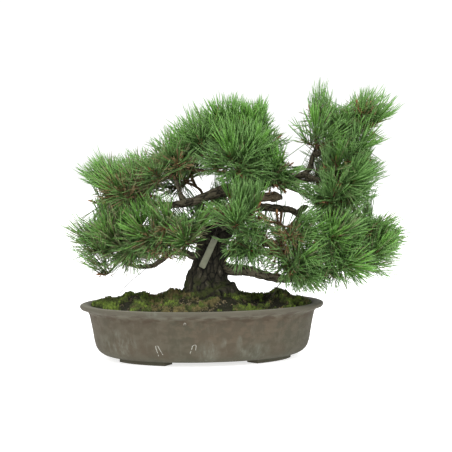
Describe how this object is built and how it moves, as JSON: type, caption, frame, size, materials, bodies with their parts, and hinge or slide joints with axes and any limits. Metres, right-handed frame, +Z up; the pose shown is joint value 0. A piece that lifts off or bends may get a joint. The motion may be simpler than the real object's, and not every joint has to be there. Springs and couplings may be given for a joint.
{
  "type": "black pine bonsai in an oval pot",
  "caption": "Black pine bonsai with a leaning, tapering trunk, spreading boughs and tufted masses of long needles, in a low oval unglazed clay pot.",
  "frame": {"origin": "middle of the whole plant's box, on the surface that the pot's feet stand on", "axes": "+X along the pot's long side, to the right seen from the front; +Y away from the front; +Z up"},
  "size_m": [0.5078, 0.2808, 0.4086],
  "materials": {
    "clay": "unglazed, matt, weathered",
    "ground": "dark gritty soil with moss",
    "bark": "rough fissured bark",
    "needles": "smooth pine needles",
    "plastic": "weathered plastic strip"
  },
  "bodies": {
    "root": {"bough_back_left": "bark", "bough_back_low": "bark", "bough_back_low_right": "bark", "bough_back_right": "bark", "bough_front": "bark", "bough_left_riser": "bark", "bough_low_left": "bark", "bough_low_right": "bark", "bough_mid_right": "bark", "bough_right_low": "bark", "bough_right_middle": "bark", "bough_right_side": "bark", "bough_upper_left": "bark", "bough_upper_right": "bark", "foliage_apex_back": "needles", "foliage_apex_front": "needles", "foliage_apex_left": "needles", "foliage_apex_right": "needles", "foliage_apex_top": "needles", "foliage_back_left_inner": "needles", "foliage_centre_front": "needles", "foliage_centre_left": "needles", "foliage_centre_low": "needles", "foliage_centre_right": "needles", "foliage_left_back": "needles", "foliage_left_far": "needles", "foliage_left_inner": "needles", "foliage_left_upper": "needles", "foliage_low_left_inner": "needles", "foliage_low_left_mid": "needles", "foliage_low_left_rear": "needles", "foliage_low_left_tip": "needles", "foliage_low_left_under": "needles", "foliage_rear_centre": "needles", "foliage_rear_low": "needles", "foliage_right_low_end": "needles", "foliage_right_low_front": "needles", "foliage_right_low_inner": "needles", "foliage_right_low_rear": "needles", "foliage_right_low_tip": "needles", "foliage_right_low_upper": "needles", "foliage_right_mid_back": "needles", "foliage_right_mid_end": "needles", "foliage_right_mid_front": "needles", "foliage_right_mid_low": "needles", "foliage_right_mid_rear": "needles", "foliage_right_top_back": "needles", "foliage_right_top_end": "needles", "foliage_right_top_inner": "needles", "foliage_right_top_left": "needles", "foliage_right_top_low": "needles", "foliage_shoulder_left": "needles", "foliage_shoulder_right": "needles", "label_tag": "plastic", "pot": "clay", "soil": "ground", "stub_cut": "bark", "stub_dead": "bark", "trunk": "bark"}
  },
  "joints": []
}
